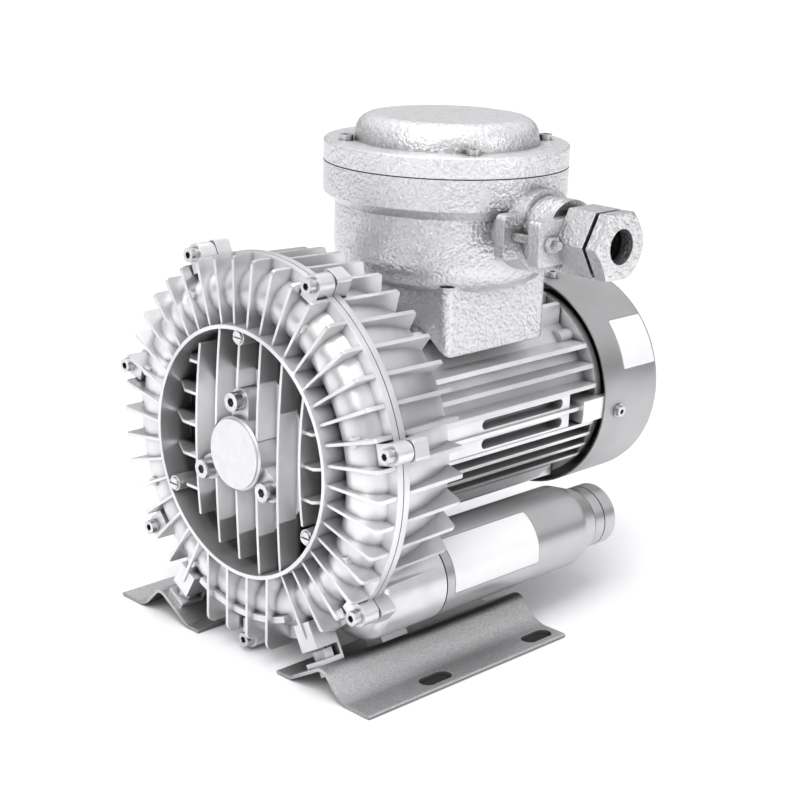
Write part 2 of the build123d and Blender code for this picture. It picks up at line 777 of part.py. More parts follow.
def motor_housing():
    flange_end = motor_start_x + motor_flange_thickness
    barrel = bar(flange_end - 1, motor_end_x, barrel_radius)
    envelope = bar(motor_start_x, motor_end_x, motor_fin_radius)
    body = (barrel + motor_fins()) & envelope
    body += bar(motor_start_x, flange_end, motor_flange_radius)
    body += [side_pad(side) for side in sides.values()]
    rail = barrel_radius * 0.78
    lift_rail = block(pad_start_x + 3, pad_end_x, -9, 9, -6, 4)
    body += [Pos(0, side * rail, -rail) * Rot(side * 45.0, 0, 0) * lift_rail for side in sides.values()]
    ear_top = cowl_radius - cowl_wall - seat_gap
    ear = block(motor_end_x - 20, cowl_screw_x + 8, barrel_radius - 8, ear_top, -8.6, 8.6)
    ear &= bar(motor_end_x - 30, cowl_screw_x + 10, ear_top)
    body += [spoke(ear, angle + cowl_ear_shift) for angle in cowl_screw_angles]
    body -= bar(flange_end, motor_end_x + 1, stator_radius)
    body -= bar(motor_end_x, motor_end_x + 30, shield_radius + 0.6)
    body -= bar(motor_start_x - 1, flange_end + 1, shaft_core_radius + 1)
    half = pedestal_length / 2
    seat = block(box_x - half, box_x + half, -seat_half_width, seat_half_width, barrel_radius - 4, seat_z)
    tower = bar(motor_end_x - 14, motor_end_x, 6.0, y=shield_screw_circle)
    body += [seat] + [spoke(tower, 45 + 90 * i) for i in range(4)]
    for angle in cowl_screw_angles:
        body -= screw_hole(m5[0], around(ear_top + 1, angle, cowl_screw_x), around(-1, angle), 12)
    for i in range(4):
        angle = 45 + 90 * i
        front = around(motor_screw_circle, angle, motor_start_x - 1)
        rear = around(shield_screw_circle, angle, motor_end_x - 12)
        body -= screw_hole(m8[0] + screw_gap, front, (1, 0, 0), 12)
        body -= screw_hole(m6[0], rear, (1, 0, 0), 13)
        body -= screw_hole(m6[0], (*box_screw_place(i), seat_z - 8), (0, 0, 1), 9)
    return body


def motor_screws():
    seat_x = motor_start_x + motor_flange_thickness
    return [cap_screw(m8, around(motor_screw_circle, 45 + 90 * i, seat_x), 22, (-1, 0, 0), socket=False)
            for i in range(4)]


def stator_core():
    slots = 12
    body = bar(stator_start_x, stator_end_x, stator_radius) \
        - bar(stator_start_x - 1, stator_end_x + 1, rotor_radius + air_gap)
    cut = block(stator_start_x - 1, stator_end_x + 1, rotor_radius - 1, rotor_radius + 14, -4.5, 4.5)
    return body - [spoke(cut, 360.0 / slots * i) for i in range(slots)]


def stator_windings():
    # Two end windings joined by the coil sides that fill the slots.
    slots = 12
    inner = rotor_radius + 2.0
    outer = rotor_radius + 13.5
    rings = []
    for start in (stator_start_x - 16, stator_end_x + 0.5):
        rings.append(bar(start, start + 15.5, outer + 4) - bar(start - 1, start + 17, inner + 2))
    side = block(stator_start_x - 2, stator_end_x + 2, inner + 2.5, outer, -3.8, 3.8)
    return rings[0] + rings[1] + [spoke(side, 360.0 / slots * i) for i in range(slots)]


def rear_shield():
    wall_end = motor_end_x + shield_thickness
    hub_end = rear_bearing_x + bearing_width + 2
    body = turned(outline(
        (motor_end_x, stator_radius - 1), (motor_end_x, shield_radius), (wall_end, shield_radius),
        (wall_end, bearing_outer_radius + 8), (hub_end, bearing_outer_radius + 6),
        (hub_end, bearing_bore_radius + 3), (hub_end - 2, bearing_bore_radius + 3),
        (hub_end - 2, bearing_outer_radius), (rear_bearing_x - 4, bearing_outer_radius),
        (rear_bearing_x - 4, stator_radius - 1)))
    rib = block(wall_end - 1, wall_end + 6, bearing_outer_radius + 4, shield_radius - 4, -2, 2)
    body += [spoke(rib, 60.0 * i) for i in range(6)]
    for i in range(4):
        place = around(shield_screw_circle, 45 + 90 * i, motor_end_x - 1)
        body -= screw_hole(m6[0] + screw_gap, place, (1, 0, 0), 30)
    return body


def shield_screws():
    seat_x = motor_end_x + shield_thickness
    return [cap_screw(m6, around(shield_screw_circle, 45 + 90 * i, seat_x), 17, (-1, 0, 0), socket=False)
            for i in range(4)]


def fan_cowl():
    bend = cowl_bend
    inner = cowl_radius - cowl_wall
    corner = rounded(cowl_end_x - bend, cowl_radius - bend, bend, 90.0, 0.0)
    back = cowl_end_x - cowl_wall
    cup = turned(outline(
        (cowl_start_x, inner), (cowl_start_x, cowl_radius), *corner, (cowl_end_x, 0), (back, 0),
        (back, cowl_radius - bend), (cowl_end_x - bend, inner)))
    half = grille_slot / 2
    slot = block(back - 1, cowl_end_x + 1, grille_start, grille_end, -half, half)
    short = block(back - 1, cowl_end_x + 1, grille_middle, grille_end, -half, half)
    step = 360.0 / grille_count
    cup -= [spoke(slot, step * i) for i in range(grille_count)]
    cup -= [spoke(short, step * (i + 0.5)) for i in range(grille_count)]
    for angle in cowl_screw_angles:
        mouth = around(cowl_radius + 2, angle, cowl_screw_x)
        cup -= screw_hole(m5[0] + screw_gap, mouth, around(-1, angle), 6)
    return cup


def cowl_screws():
    # Low round heads, each with its washer under it.
    screws = []
    for angle in cowl_screw_angles:
        outward = around(1, angle)
        screw = cap_screw(m5, around(cowl_radius + 1.0, angle, cowl_screw_x), 10, around(-1, angle))
        screws.append(screw + hole(5.4, around(cowl_radius, angle, cowl_screw_x), outward, 1.0))
    return screws


# Terminal box

def upright(z_start, z_end, radius, x=box_x, y=0.0):
    return extrude(Plane(origin=(x, y, z_start)) * Circle(radius), z_end - z_start)


def turned_upright(edge):
    # A face drawn with x as radius and z up, turned about the box's own axis.
    return Pos(box_x, 0, 0) * revolve(Plane.XZ * make_face(edge), Axis.Z)


def terminal_box():
    bowl = box_bowl
    low = pedestal_top_z - 6.0
    half = pedestal_length / 2
    corner = rounded(box_radius - bowl, low + bowl, bowl, 270.0, 360.0, 5)
    shell = turned_upright(outline(
        (0, low), *corner, (box_radius, box_band_z - 4), (box_band_radius, box_band_z + 3),
        (box_band_radius, lid_z), (0, lid_z)))
    pedestal = block(box_x - half, box_x + half, -pedestal_width / 2, pedestal_width / 2,
                     pedestal_bottom_z, pedestal_top_z)
    pedestal = fillet(pedestal.edges().filter_by(Axis.Z), 7.0)
    pedestal -= bar(box_x - half - 1, box_x + half + 1, motor_fin_radius + fin_gap)
    pedestal += block(box_x - half, box_x + half, -seat_half_width, seat_half_width, seat_z, pedestal_top_z)
    boss = sideways(box_radius - 14, box_ear_y + box_ear_thickness, gland_neck_radius + gland_boss_wall)
    body = shell + pedestal + boss + gland_plate(box_ear_y, box_ear_thickness)
    body -= upright(box_floor_z, lid_z + 1, box_radius - box_wall)
    body -= upright(seat_z - 1, box_floor_z + 1, wire_hole_radius)
    body -= sideways(box_radius - 16, box_ear_y + 20, gland_neck_radius + seat_gap)
    for i in range(4):
        body -= screw_hole(m6[0] + screw_gap, (*box_screw_place(i), seat_z - 1), (0, 0, 1), box_floor_z)
    for angle in lid_screw_angles:
        body -= screw_hole(m6[0], lid_place(angle, lid_z - 14), (0, 0, 1), 15)
    for shift in (-gland_stud_offset, gland_stud_offset):
        body -= shank(gland_spot(box_ear_y - 1, shift), m6[0], 10)
    return body


def gland_spot(y, shift=0.0):
    # A plane across the gland's axis, which points away from the box on the right.
    return Plane(origin=(box_x + shift, -y, gland_z), x_dir=(1, 0, 0), z_dir=(0, -1, 0))


def lid_place(angle, z=lid_z):
    return (box_x + lid_screw_circle * sin(radians(angle)), lid_screw_circle * cos(radians(angle)), z)


def box_screw_place(index):
    return (box_x + (38.0 if index % 2 else -38.0), 20.0 if index < 2 else -20.0)


def sideways(y_start, y_end, radius, shift=0.0):
    return extrude(gland_spot(y_start, shift) * Circle(radius), y_end - y_start)


def gland_plate(y_start, thickness):
    return extrude(gland_spot(y_start) * RectangleRounded(flange_length, flange_height, 4.0), thickness)


def terminal_lid():
    wall = 9.0
    corner = rounded(dome_radius - 1 - dome_bend, dome_top_z - dome_bend, dome_bend, 0.0, 90.0, 5)
    lid = turned_upright(outline(
        (0, lid_z), (box_band_radius, lid_z), (box_band_radius, box_top_z - 1),
        (box_band_radius - 1, box_top_z), (dome_radius, box_top_z), *corner, (0, dome_top_z)))
    lid -= upright(lid_z - 1, dome_top_z - wall, box_radius - box_wall - 12)
    for angle in lid_screw_angles:
        lid -= hole(m6[1] + 1.6, lid_place(angle, box_top_z), (0, 0, 1), 20)
        lid -= screw_hole(m6[0] + screw_gap, lid_place(angle, lid_z - 1), (0, 0, 1), 20)
    return lid


def lid_screws():
    return [cap_screw((m6[0], m6[1], 4.0), lid_place(angle, box_top_z), box_top_z - lid_z + 10, (0, 0, -1))
            for angle in lid_screw_angles]


def box_screws():
    length = box_floor_z - seat_z + 7.5
    return [cap_screw(m6, (*box_screw_place(i), box_floor_z), length, (0, 0, -1), socket=False)
            for i in range(4)]


def terminal_board():
    return block(box_x - 33, box_x + 33, 24, 46, box_floor_z, box_floor_z + 16)


def terminal_studs():
    studs = []
    base = box_floor_z + 16
    for x in (-22, 0, 22):
        for y in (29.5, 40.5):
            plane = Plane(origin=(box_x + x, y, base))
            studs.append(shank(plane, 2.5, 12) + extrude(plane * RegularPolygon(4.6, 6), 4))
    return studs


# Cable gland

def gland_hexagon(y_start, y_end, width):
    return extrude(gland_spot(y_start) * RegularPolygon(width / sqrt(3), 6), y_end - y_start)


def gland_body():
    plate = gland_plate(gland_plate_y, gland_plate_thickness)
    neck = sideways(box_radius - 6, gland_plate_y + 1, gland_neck_radius)
    nose = sideways(gland_hex_end_y - 1, gland_nut_y, gland_thread_radius)
    body = plate + neck + gland_hexagon(gland_plate_end_y - 1, gland_hex_end_y, gland_hex) + nose
    body -= sideways(box_radius - 12, gland_nut_y + 1, cable_radius + 1)
    body -= sideways(gland_plate_y + 4, gland_nut_y + 1, gland_bore_radius)
    for shift in (-gland_stud_offset, gland_stud_offset):
        body -= shank(gland_spot(gland_plate_y - 1, shift), m6[0] + screw_gap, 20)
    return body


def gland_seal():
    return sideways(gland_plate_y + 5, gland_nut_y - 4, gland_bore_radius - seat_gap) \
        - sideways(gland_plate_y, gland_nut_y, cable_radius)


def gland_nut():
    body = gland_hexagon(gland_nut_y, gland_nut_end_y, gland_hex)
    corner = gland_hex / sqrt(3)
    trim = sideways(gland_nut_y - 1, gland_nut_end_y - 2, corner + 1) \
        + loft_cone(gland_nut_end_y - 2.001, gland_nut_end_y, corner + 0.2, corner - 3)
    body &= trim
    return body - sideways(gland_nut_y - 1, gland_nut_end_y + 1, cable_radius)


def loft_cone(y_start, y_end, start_radius, end_radius):
    middle = (y_start + y_end) / 2
    cone = Cone(start_radius, end_radius, y_end - y_start)
    return Pos(box_x, -middle, gland_z) * Rot(90, 0, 0) * cone


def gland_studs():
    start = box_ear_y - 1
    end = gland_plate_end_y + 9
    return [shank(gland_spot(start, shift), m6[0], end - start)
            for shift in (-gland_stud_offset, gland_stud_offset)]


def gland_stud_nuts():
    start = gland_plate_end_y
    nuts = []
    for shift in (-gland_stud_offset, gland_stud_offset):
        nut = extrude(gland_spot(start, shift) * RegularPolygon(5.8, 6), 5.0)
        nuts.append(nut - shank(gland_spot(start - 1, shift), m6[0], 7))
    return nuts


# Ports and silencers

def on_port(shape, side):
    return Pos(0, side * port_y, port_z) * shape


def silencer_shell(side):
    start = silencer_start_x
    wall = silencer_wall
    shape = turned(outline(
        (start, port_radius - wall), (start, port_radius), (silencer_cone_x, port_radius),
        (silencer_cone_end_x, connector_radius + 0.5), (silencer_cone_end_x, connector_radius - wall),
        (silencer_cone_x, port_radius - wall)))
    return on_port(shape, side)


def silencer_seal(side):
    ring = bar(port_joint_x, silencer_start_x, port_radius - 1.0)
    ring -= bar(port_joint_x - 1, silencer_start_x + 1, port_bore + 2)
    return on_port(ring, side)


def silencer_lining(side):
    start = silencer_start_x + 1
    outer = port_radius - silencer_wall - seat_gap
    sleeve = bar(start, silencer_cone_x - 1, outer) - bar(start - 1, silencer_cone_x, outer - lining_wall)
    return on_port(sleeve, side)


def connector(side):
    groove = connector_groove
    start = silencer_cone_end_x
    first = start + 11.0
    shape = turned(outline(
        (start, connector_bore), (start, connector_radius - groove), (start + 1, connector_radius - groove),
        (start + 1, connector_radius), (first, connector_radius), (first, connector_radius - groove),
        (first + 1, connector_radius - groove), (first + 1, connector_radius),
        (connector_end_x, connector_radius), (connector_end_x, connector_bore)))
    return on_port(shape, side)


# Feet: bent sheet rails, bolted to the casing's lugs

def foot_section():
    # Middle line of the sheet on the left side: flat flange, steep web, ridge, slope, toe.
    ridge = (foot_ridge_y, foot_floor_z + foot_rise)
    line = FilletPolyline((foot_half_width, foot_floor_z), (foot_bend_y, foot_floor_z), ridge,
                          (foot_slope_y, foot_floor_z), (foot_toe_y, foot_floor_z),
                          radius=(foot_flange_bend, foot_bend_radius, 5.0))
    return make_face(offset(line, foot_sheet / 2, side=Side.BOTH).edges())


def foot(side):
    plane = Plane(origin=(0, 0, 0), x_dir=(0, 1, 0), z_dir=(1, 0, 0))
    rail = extrude(plane * foot_section(), foot_length)
    for x in slot_places():
        slot = SlotOverall(slot_length, slot_width)
        rail -= extrude(Plane(origin=(x, slot_offset_y, -shaft_height - 1)) * slot, foot_sheet + 2)
    for x in foot_bolt_places():
        seat = around(foot_seat_radius - 1, lug_angles[1], x)
        rail -= screw_hole(m8[0] + screw_gap, seat, around(1, lug_angles[1]), foot_sheet + 4)
    return rail if side > 0 else mirror(rail, Plane.XZ)


def slot_places():
    rear = foot_length - slot_rear_inset
    return (rear - slot_pitch, rear)


def foot_bolt_places():
    return (front_lug_x + front_lug_length / 2, rear_lug_x + rear_lug_length / 2)


def foot_bolts():
    # The front bolts take a nut, the rear ones are screwed into the casing.
    bolts = []
    for angle in lug_angles:
        for x, depth in zip(foot_bolt_places(), (13.5, 12)):
            plane = facing(around(foot_seat_radius + foot_sheet, angle, x), around(1, angle))
            head = extrude(plane * RegularPolygon(7.5, 6), 5.3)
            bolts.append(head + shank(plane, m8[0], -foot_sheet - depth))
    return bolts


def foot_nuts():
    nuts = []
    for angle in lug_angles:
        seat = around(foot_seat_radius - nut_slot_base, angle, foot_bolt_places()[0])
        plane = facing(seat, around(-1, angle))
        nut = extrude(plane * RegularPolygon(7.5, 6), 6.5)
        nuts.append(nut - shank(plane, m8[0], 7))
    return nuts


# Screws of the casing

def seam_screws():
    length = rear_half_x - seam_boss_front_x + 10
    return [cap_screw(m6, around(seam_screw_circle, angle, seam_boss_front_x), length, (1, 0, 0))
            for angle in seam_screw_angles]


def cap_screws():
    return [cap_screw(m8, around(lobe_circle, angle, lobe_front_x), plate_x - lobe_front_x + 12, (1, 0, 0))
            for angle in lobe_angles]


def rim_screws():
    screws = []
    for angle in lobe_angles:
        seat = around(rim_screw_circle, angle, rim_boss_front_x)
        head = hole(m5[1], seat, (-1, 0, 0), 1.4) + screw_hole(m5[0], seat, (1, 0, 0), 16)
        y, z = seat[1:]
        cut = block(rim_boss_front_x - 2, rim_boss_front_x - 0.5, y - 6, y + 6, z - 0.6, z + 0.6)
        screws.append(head - cut)
    return screws


def on_floor(shape):
    # Moves a piece, or the like pieces of a group, from the shaft's frame to the floor's.
    move = Pos(-sum(slot_places()) / 2, 0, shaft_height)
    items = shape if isinstance(shape, (list, tuple)) else [shape]
    solids = [move * solid for item in items for solid in item.solids()]
    return solids[0] if len(solids) == 1 else Compound(solids)


pieces = {
    "front_cover": front_cover(),
    "rear_casing": rear_casing(),
    "seam_gasket": seam_gasket(),
    "seam_screws": seam_screws(),
    "bearing_cap": bearing_cap(),
    "cap_plate": cap_plate(),
    "cap_screws": cap_screws(),
    "rim_screws": rim_screws(),
    "front_bearing_outer": bearing_outer(bearing_front_x),
    "front_bearing_inner": bearing_inner(bearing_front_x),
    "rear_bearing_outer": bearing_outer(rear_bearing_x),
    "rear_bearing_inner": bearing_inner(rear_bearing_x),
    "shaft_seal": shaft_seal(),
    "shaft": shaft(),
    "impeller": impeller(),
    "impeller_key": impeller_key(),
    "spacer_sleeve": spacer_sleeve(),
    "shaft_end_washer": shaft_end_washer(),
    "shaft_end_screw": shaft_end_screw(),
    "rotor_core": rotor_core(),
    "cooling_fan": cooling_fan(),
    "fan_clip": fan_clip(),
    "motor_housing": motor_housing(),
    "motor_screws": motor_screws(),
    "stator_core": stator_core(),
    "stator_windings": stator_windings(),
    "rear_shield": rear_shield(),
    "shield_screws": shield_screws(),
    "fan_cowl": fan_cowl(),
    "cowl_screws": cowl_screws(),
    "terminal_box": terminal_box(),
    "terminal_lid": terminal_lid(),
    "lid_screws": lid_screws(),
    "box_screws": box_screws(),
    "terminal_board": terminal_board(),
    "terminal_studs": terminal_studs(),
    "gland_body": gland_body(),
    "gland_seal": gland_seal(),
    "gland_nut": gland_nut(),
    "gland_studs": gland_studs(),
    "gland_stud_nuts": gland_stud_nuts(),
    "foot_bolts": foot_bolts(),
    "foot_nuts": foot_nuts(),
}
for name, side in sides.items():
    pieces[name + "_silencer"] = silencer_shell(side)
    pieces[name + "_silencer_seal"] = silencer_seal(side)
    pieces[name + "_silencer_lining"] = silencer_lining(side)
    pieces[name + "_connector"] = connector(side)
    pieces[name + "_foot"] = foot(side)

for name, shape in pieces.items():
    export_step(on_floor(shape), os.path.join("parts", name + ".step"))
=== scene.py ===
import json
import math
import bpy
import bmesh
from mathutils import Matrix, Vector


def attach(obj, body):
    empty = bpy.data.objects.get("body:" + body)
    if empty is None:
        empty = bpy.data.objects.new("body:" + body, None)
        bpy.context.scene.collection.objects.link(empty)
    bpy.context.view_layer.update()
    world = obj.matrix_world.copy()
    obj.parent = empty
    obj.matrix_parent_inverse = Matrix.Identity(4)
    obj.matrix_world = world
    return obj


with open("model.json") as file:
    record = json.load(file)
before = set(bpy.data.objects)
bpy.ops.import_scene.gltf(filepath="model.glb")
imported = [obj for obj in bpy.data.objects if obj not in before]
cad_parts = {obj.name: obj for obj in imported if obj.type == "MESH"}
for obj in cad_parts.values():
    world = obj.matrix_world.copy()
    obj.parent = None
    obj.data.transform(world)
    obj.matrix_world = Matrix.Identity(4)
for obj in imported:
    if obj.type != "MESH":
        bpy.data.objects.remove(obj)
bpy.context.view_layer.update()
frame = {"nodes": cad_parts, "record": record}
blowerNodes = frame["nodes"]
print("blower frame loaded with", len(blowerNodes), "nodes")

# Camera at the photograph's angle. Here and below lengths are metres and angles degrees;
# the lens and the sensor are millimetres.
cameraView = {
    "place": (-0.8155, -0.8423, 0.5097),
    "azimuth": -45.08,
    "elevation": 16.609,
    "roll": 1.761,
    "lens": 77.06,
    "sensor": 36,
    "near": 0.05,
    "far": 60,
}


def placeCamera(view):
    turn, lift, roll = (math.radians(view[key]) for key in ("azimuth", "elevation", "roll"))
    right = Vector((math.cos(turn), math.sin(turn), 0))
    back = Vector((math.sin(turn) * math.cos(lift), -math.cos(turn) * math.cos(lift), math.sin(lift)))
    up = back.cross(right)
    rolledRight = math.cos(roll) * right + math.sin(roll) * up
    rolledUp = -math.sin(roll) * right + math.cos(roll) * up
    aim = Matrix((rolledRight, rolledUp, back)).transposed().to_4x4()
    camera = bpy.data.objects.new("photoCamera", bpy.data.cameras.new("photoCamera"))
    bpy.context.scene.collection.objects.link(camera)
    camera.matrix_world = Matrix.Translation(view["place"]) @ aim
    camera.data.sensor_width = view["sensor"]
    camera.data.lens = view["lens"]
    camera.data.clip_start = view["near"]
    camera.data.clip_end = view["far"]
    bpy.context.scene.camera = camera


placeCamera(cameraView)
print("camera placed")


# Small helpers that every finish uses
def addNode(tree, kind, **sockets):
    node = tree.nodes.new(kind)
    for name, value in sockets.items():
        node.inputs[name.replace("_", " ")].default_value = value
    return node


def startFinish(name, metal, rough):
    finish = bpy.data.materials.new(name)
    finish.use_nodes = True
    tree = finish.node_tree
    shader = tree.nodes["Principled BSDF"]
    shader.inputs["Metallic"].default_value = metal
    shader.inputs["Roughness"].default_value = rough
    place = tree.nodes.new("ShaderNodeTexCoord")
    return finish, tree, shader, place.outputs["Object"]


def speckle(tree, place, size, detail=3.0, rough=0.55):
    # size is the width of one fleck, which is half a cell of the noise
    noise = addNode(tree, "ShaderNodeTexNoise", Scale=0.5 / size, Detail=detail, Roughness=rough)
    tree.links.new(place, noise.inputs["Vector"])
    return noise.outputs["Fac"]


def wave(tree, place, look):
    # a wave of scale 1 repeats about every waveStep
    bands = addNode(tree, "ShaderNodeTexWave", Scale=look["waveStep"] / look["line"],
                    Distortion=look["lineWaver"], Detail=look["lineDetail"])
    bands.bands_direction = look["lineWay"]
    tree.links.new(place, bands.inputs["Vector"])
    return bands.outputs["Fac"]


def ramp(tree, factor, stops):
    # a stop is its position and a colour or one level of grey
    node = tree.nodes.new("ShaderNodeValToRGB")
    tree.links.new(factor, node.inputs["Fac"])
    points = node.color_ramp.elements
    while len(points) < len(stops):
        points.new(0.5)
    for point, (at, colour) in zip(points, stops):
        point.position = at
        point.color = (*colour, 1) if isinstance(colour, tuple) else (colour, colour, colour, 1)
    return node.outputs["Color"]


def coolGrey(level):
    return (level, level, level * 1.01)


def greyTones(tree, factor, look):
    low, high = look["tones"]
    return ramp(tree, factor, [(low, coolGrey(look["dark"])), (high, coolGrey(look["light"]))])


def mapRange(tree, value, low, high, start=0.0, end=1.0):
    node = addNode(tree, "ShaderNodeMapRange", From_Min=start, From_Max=end, To_Min=low, To_Max=high)
    tree.links.new(value, node.inputs["Value"])
    return node.outputs["Result"]


def compute(tree, way, first, second):
    # second is a node's output or a number
    node = tree.nodes.new("ShaderNodeMath")
    node.operation = way
    tree.links.new(first, node.inputs[0])
    if isinstance(second, bpy.types.NodeSocket):
        tree.links.new(second, node.inputs[1])
    else:
        node.inputs[1].default_value = second
    return node.outputs["Value"]


def multiply(tree, first, second):
    mix = tree.nodes.new("ShaderNodeMix")
    mix.data_type = "RGBA"
    mix.blend_type = "MULTIPLY"
    mix.inputs["Factor"].default_value = 1
    tree.links.new(first, mix.inputs["A"])
    tree.links.new(second, mix.inputs["B"])
    return mix.outputs["Result"]


def varyGloss(tree, shader, factor, look):
    below, above = look["gloss"]
    rough = mapRange(tree, factor, look["rough"] - below, look["rough"] + above)
    tree.links.new(rough, shader.inputs["Roughness"])


# Painted shade in the corners between fins and round bosses, darkening the colour: a point is in a corner,
# half open or open by the share of free space around it
recessShade = {"corner": 0.12, "half": 0.62, "halfTone": 0.82, "open": 0.95, "samples": 6}


def shadeRecesses(tree, shader, colour, look):
    # recess is the tone of the painted shade in a corner and reach is how far the shade goes
    shade = addNode(tree, "ShaderNodeAmbientOcclusion", Distance=look["reach"])
    shade.samples = recessShade["samples"]
    corner = look.get("corner", recessShade["corner"])
    half, halfTone = recessShade["half"], recessShade["halfTone"]
    stops = [(corner, look["recess"]), (half, halfTone), (recessShade["open"], 1.0)]
    shaded = multiply(tree, colour, ramp(tree, shade.outputs["AO"], stops))
    tree.links.new(shaded, shader.inputs["Base Color"])


def addBump(tree, shader, heights, edge=0.0, samples=4):
    # heights are (height output, depth) pairs; edge is the radius that softens sharp edges
    normal = None
    if edge:
        bevel = addNode(tree, "ShaderNodeBevel", Radius=edge)
        bevel.samples = samples
        normal = bevel.outputs["Normal"]
    for height, depth in heights:
        bump = addNode(tree, "ShaderNodeBump", Strength=1.0, Distance=depth)
        tree.links.new(height, bump.inputs["Height"])
        if normal:
            tree.links.new(normal, bump.inputs["Normal"])
        normal = bump.outputs["Normal"]
    tree.links.new(normal, shader.inputs["Normal"])


# Die cast aluminium of the casing, cap, motor and impeller: blasted skin, with painted shade in the recesses
castShared = {
    "cloud": 0.022, "cloudDetail": 2.0, "tones": (0.32, 0.62), "gloss": (0.08, 0.12), "edge": 0.0006,
}
castLook = {
    "castFrontCover": {
        "metal": 0.74, "light": 0.84, "dark": 0.72, "rough": 0.33,
        "grain": 0.0006, "depth": 0.00005, "recess": 0.20, "reach": 0.0045,
    },
    "castRearCasing": {
        "metal": 0.76, "light": 0.82, "dark": 0.68, "rough": 0.34,
        "grain": 0.0007, "depth": 0.00006, "recess": 0.12, "reach": 0.011,
    },
    "castBearingCap": {
        "metal": 0.70, "light": 0.84, "dark": 0.70, "rough": 0.33,
        "grain": 0.0006, "depth": 0.00005, "recess": 0.20, "reach": 0.012,
    },
    "castMotor": {
        "metal": 0.58, "light": 0.92, "dark": 0.80, "rough": 0.35,
        "grain": 0.0008, "depth": 0.00008, "recess": 0.20, "reach": 0.011,
    },
    "castImpeller": {
        "metal": 0.80, "light": 0.80, "dark": 0.66, "rough": 0.34,
        "grain": 0.0006, "depth": 0.00004, "recess": 0.50, "reach": 0.010,
    },
}
# The front dish: painted shade darkens its floor, and the raised hub plate in it is matt, each within a
# radius of the shaft
dishLook = {
    "shaftZ": 0.1455,
    "plateX": -0.1084, "plateRadius": 0.0575, "plateMetal": 0.08,
    "shadeFullX": -0.1035, "floorRadius": 0.0865, "floorEdge": 0.004, "floorShadeTone": 0.06,
}


def shaftDistance(tree, place, shaftZ):
    # the shaft runs along x, so x counts for nothing
    flat = tree.nodes.new("ShaderNodeVectorMath")
    flat.operation = "MULTIPLY_ADD"
    flat.inputs[1].default_value = (0, 1, 1)
    flat.inputs[2].default_value = (0, 0, -shaftZ)
    tree.links.new(place, flat.inputs[0])
    length = tree.nodes.new("ShaderNodeVectorMath")
    length.operation = "LENGTH"
    tree.links.new(flat.outputs["Vector"], length.inputs[0])
    return length.outputs["Value"]


def shadeDishFloorMattPlate(tree, shader, colour, place, metal):
    look = dishLook
    split = tree.nodes.new("ShaderNodeSeparateXYZ")
    tree.links.new(place, split.inputs["Vector"])
    along = split.outputs["X"]
    away = shaftDistance(tree, place, look["shaftZ"])
    deep = mapRange(tree, along, 0.0, 1.0, look["plateX"], look["shadeFullX"])
    inside = mapRange(tree, away, 0.0, 1.0, look["floorRadius"], look["floorRadius"] - look["floorEdge"])
    inFront = compute(tree, "LESS_THAN", along, look["plateX"])
    nearShaft = compute(tree, "LESS_THAN", away, look["plateRadius"])
    plate = compute(tree, "MULTIPLY", inFront, nearShaft)
    tree.links.new(mapRange(tree, plate, metal, look["plateMetal"]), shader.inputs["Metallic"])
    # painted shade: the dish floor behind the plate and inside the rim is darkened towards floorShadeTone
    floor = compute(tree, "MULTIPLY", deep, inside)
    return multiply(tree, colour, ramp(tree, floor, [(0.0, 1.0), (1.0, look["floorShadeTone"])]))


def castFinish(name):
    look = {**castShared, **castLook[name]}
    finish, tree, shader, place = startFinish(name, look["metal"], look["rough"])
    grain = speckle(tree, place, look["grain"])
    cloud = speckle(tree, place, look["cloud"], look["cloudDetail"])
    colour = greyTones(tree, cloud, look)
    if name == "castFrontCover":
        colour = shadeDishFloorMattPlate(tree, shader, colour, place, look["metal"])
    shadeRecesses(tree, shader, colour, look)
    varyGloss(tree, shader, grain, look)
    addBump(tree, shader, [(grain, look["depth"])], look["edge"])
    return finish


# Hammered silver paint of the terminal box and gland, and a paler, less metallic copy for the lid, painted
# light for its lit top
hammeredShared = {
    "dimple": 0.0011, "dimpleDetail": 2.0, "dimpleRough": 0.5,
    "lump": 0.0028, "lumpDetail": 1.0, "depth": 0.0008,
    "tones": (0.34, 0.50), "gloss": (0.05, 0.09), "reach": 0.016, "edge": 0.0009,
}
hammeredLook = {
    "hammeredPaint": {"metal": 0.88, "light": 0.75, "dark": 0.67, "rough": 0.31, "recess": 0.06},
    # the lid's paler tones are painted light for its lit top, and its high corner tone paints a shade line
    # at the dome's foot
    "litHammeredLid": {
        "metal": 0.64, "light": 0.80, "dark": 0.70, "rough": 0.33, "recess": 0.10, "corner": 0.44,
    },
}


def hammeredFinish(name):
    look = {**hammeredShared, **hammeredLook[name]}
    finish, tree, shader, place = startFinish(name, look["metal"], look["rough"])
    dimple = speckle(tree, place, look["dimple"], look["dimpleDetail"], look["dimpleRough"])
    lump = speckle(tree, place, look["lump"], look["lumpDetail"])
    shadeRecesses(tree, shader, greyTones(tree, dimple, look), look)
    varyGloss(tree, shader, lump, look)
    addBump(tree, shader, [(lump, look["depth"]), (dimple, look["depth"])], look["edge"])
    return finish


# Satin silver paint on the cowl, the silencers and their connectors
satinShared = {
    "metal": 0.78, "fleck": 0.0005, "cloud": 0.03, "detail": 2.0, "depth": 0.00003,
    "tones": (0.3, 0.65), "gloss": (0.06, 0.10), "edge": 0.0006,
}
satinLook = {
    "satinCowl": {"light": 0.52, "dark": 0.44, "rough": 0.36, "recess": 0.12, "reach": 0.012},
    "satinSilencer": {"light": 0.60, "dark": 0.54, "rough": 0.30, "recess": 0.06, "reach": 0.035},
}


def satinFinish(name):
    look = {**satinShared, **satinLook[name]}
    finish, tree, shader, place = startFinish(name, look["metal"], look["rough"])
    fleck = speckle(tree, place, look["fleck"], look["detail"])
    cloud = speckle(tree, place, look["cloud"], look["detail"])
    shadeRecesses(tree, shader, greyTones(tree, cloud, look), look)
    varyGloss(tree, shader, fleck, look)
    addBump(tree, shader, [(fleck, look["depth"])], look["edge"])
    return finish


